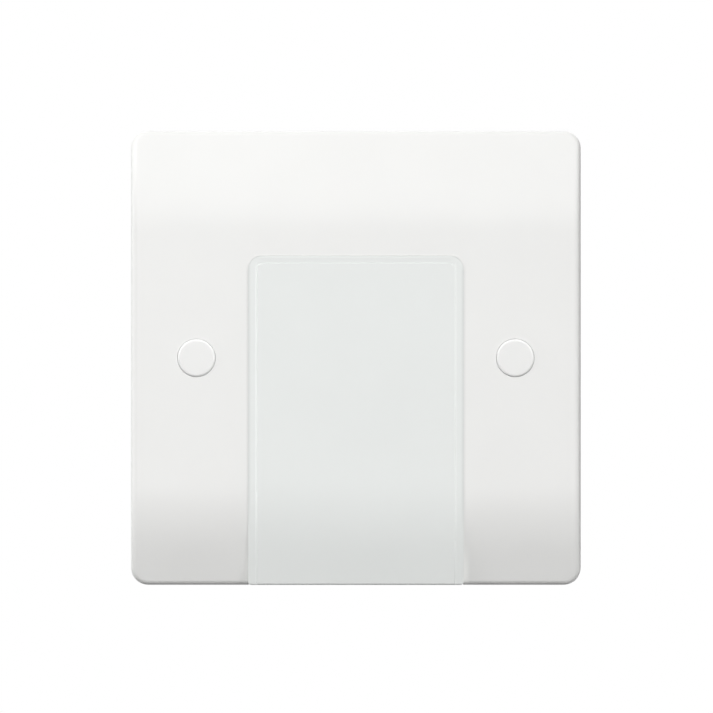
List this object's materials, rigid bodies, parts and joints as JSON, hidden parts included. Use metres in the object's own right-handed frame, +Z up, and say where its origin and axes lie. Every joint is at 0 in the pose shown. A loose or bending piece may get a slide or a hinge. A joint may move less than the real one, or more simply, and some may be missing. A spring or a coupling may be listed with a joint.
{
  "type": "flex outlet plate",
  "caption": "Square white wall plate with a hood that lets a flexible cord out at its bottom edge, with screw covers, terminals and a cord clamp behind.",
  "frame": {"origin": "on the wall plane, midway between the two fixing screws", "axes": "X right seen from the front, Y into the wall, Z up"},
  "size_m": [0.0856, 0.0308, 0.0864],
  "materials": {
    "plate_white": "smooth white moulding with a soft gloss",
    "hood_white": "smooth moulding in a slightly cooler white",
    "cover_white": "smooth white moulding",
    "carrier_grey": "light grey moulding with a dull surface",
    "clamp_nylon": "natural nylon",
    "terminal_brass": "machined brass",
    "screw_steel": "zinc-plated steel"
  },
  "bodies": {
    "plate": {"front_plate": "plate_white", "flex_hood": "hood_white", "screw_cover_left": "cover_white", "screw_cover_right": "cover_white", "terminal_carrier": "carrier_grey", "live_terminal": "terminal_brass", "live_supply_screw": "screw_steel", "live_flex_screw": "screw_steel", "earth_terminal": "terminal_brass", "earth_supply_screw": "screw_steel", "earth_flex_screw": "screw_steel", "neutral_terminal": "terminal_brass", "neutral_supply_screw": "screw_steel", "neutral_flex_screw": "screw_steel", "fixing_screw_left": "screw_steel", "carrier_screw_left": "screw_steel", "hood_screw_upper_left": "screw_steel", "hood_screw_lower_left": "screw_steel", "fixing_screw_right": "screw_steel", "carrier_screw_right": "screw_steel", "hood_screw_upper_right": "screw_steel", "hood_screw_lower_right": "screw_steel"},
    "cord_clamp": {"cord_clamp": "clamp_nylon", "cord_clamp_screw_left": "screw_steel", "cord_clamp_screw_right": "screw_steel"}
  },
  "joints": [
    {"name": "cord_clamp_slide", "type": "slide", "parent": "plate", "child": "cord_clamp", "axis": [0, 1, 0], "range_m": [-0.0015, 0.0015]}
  ]
}
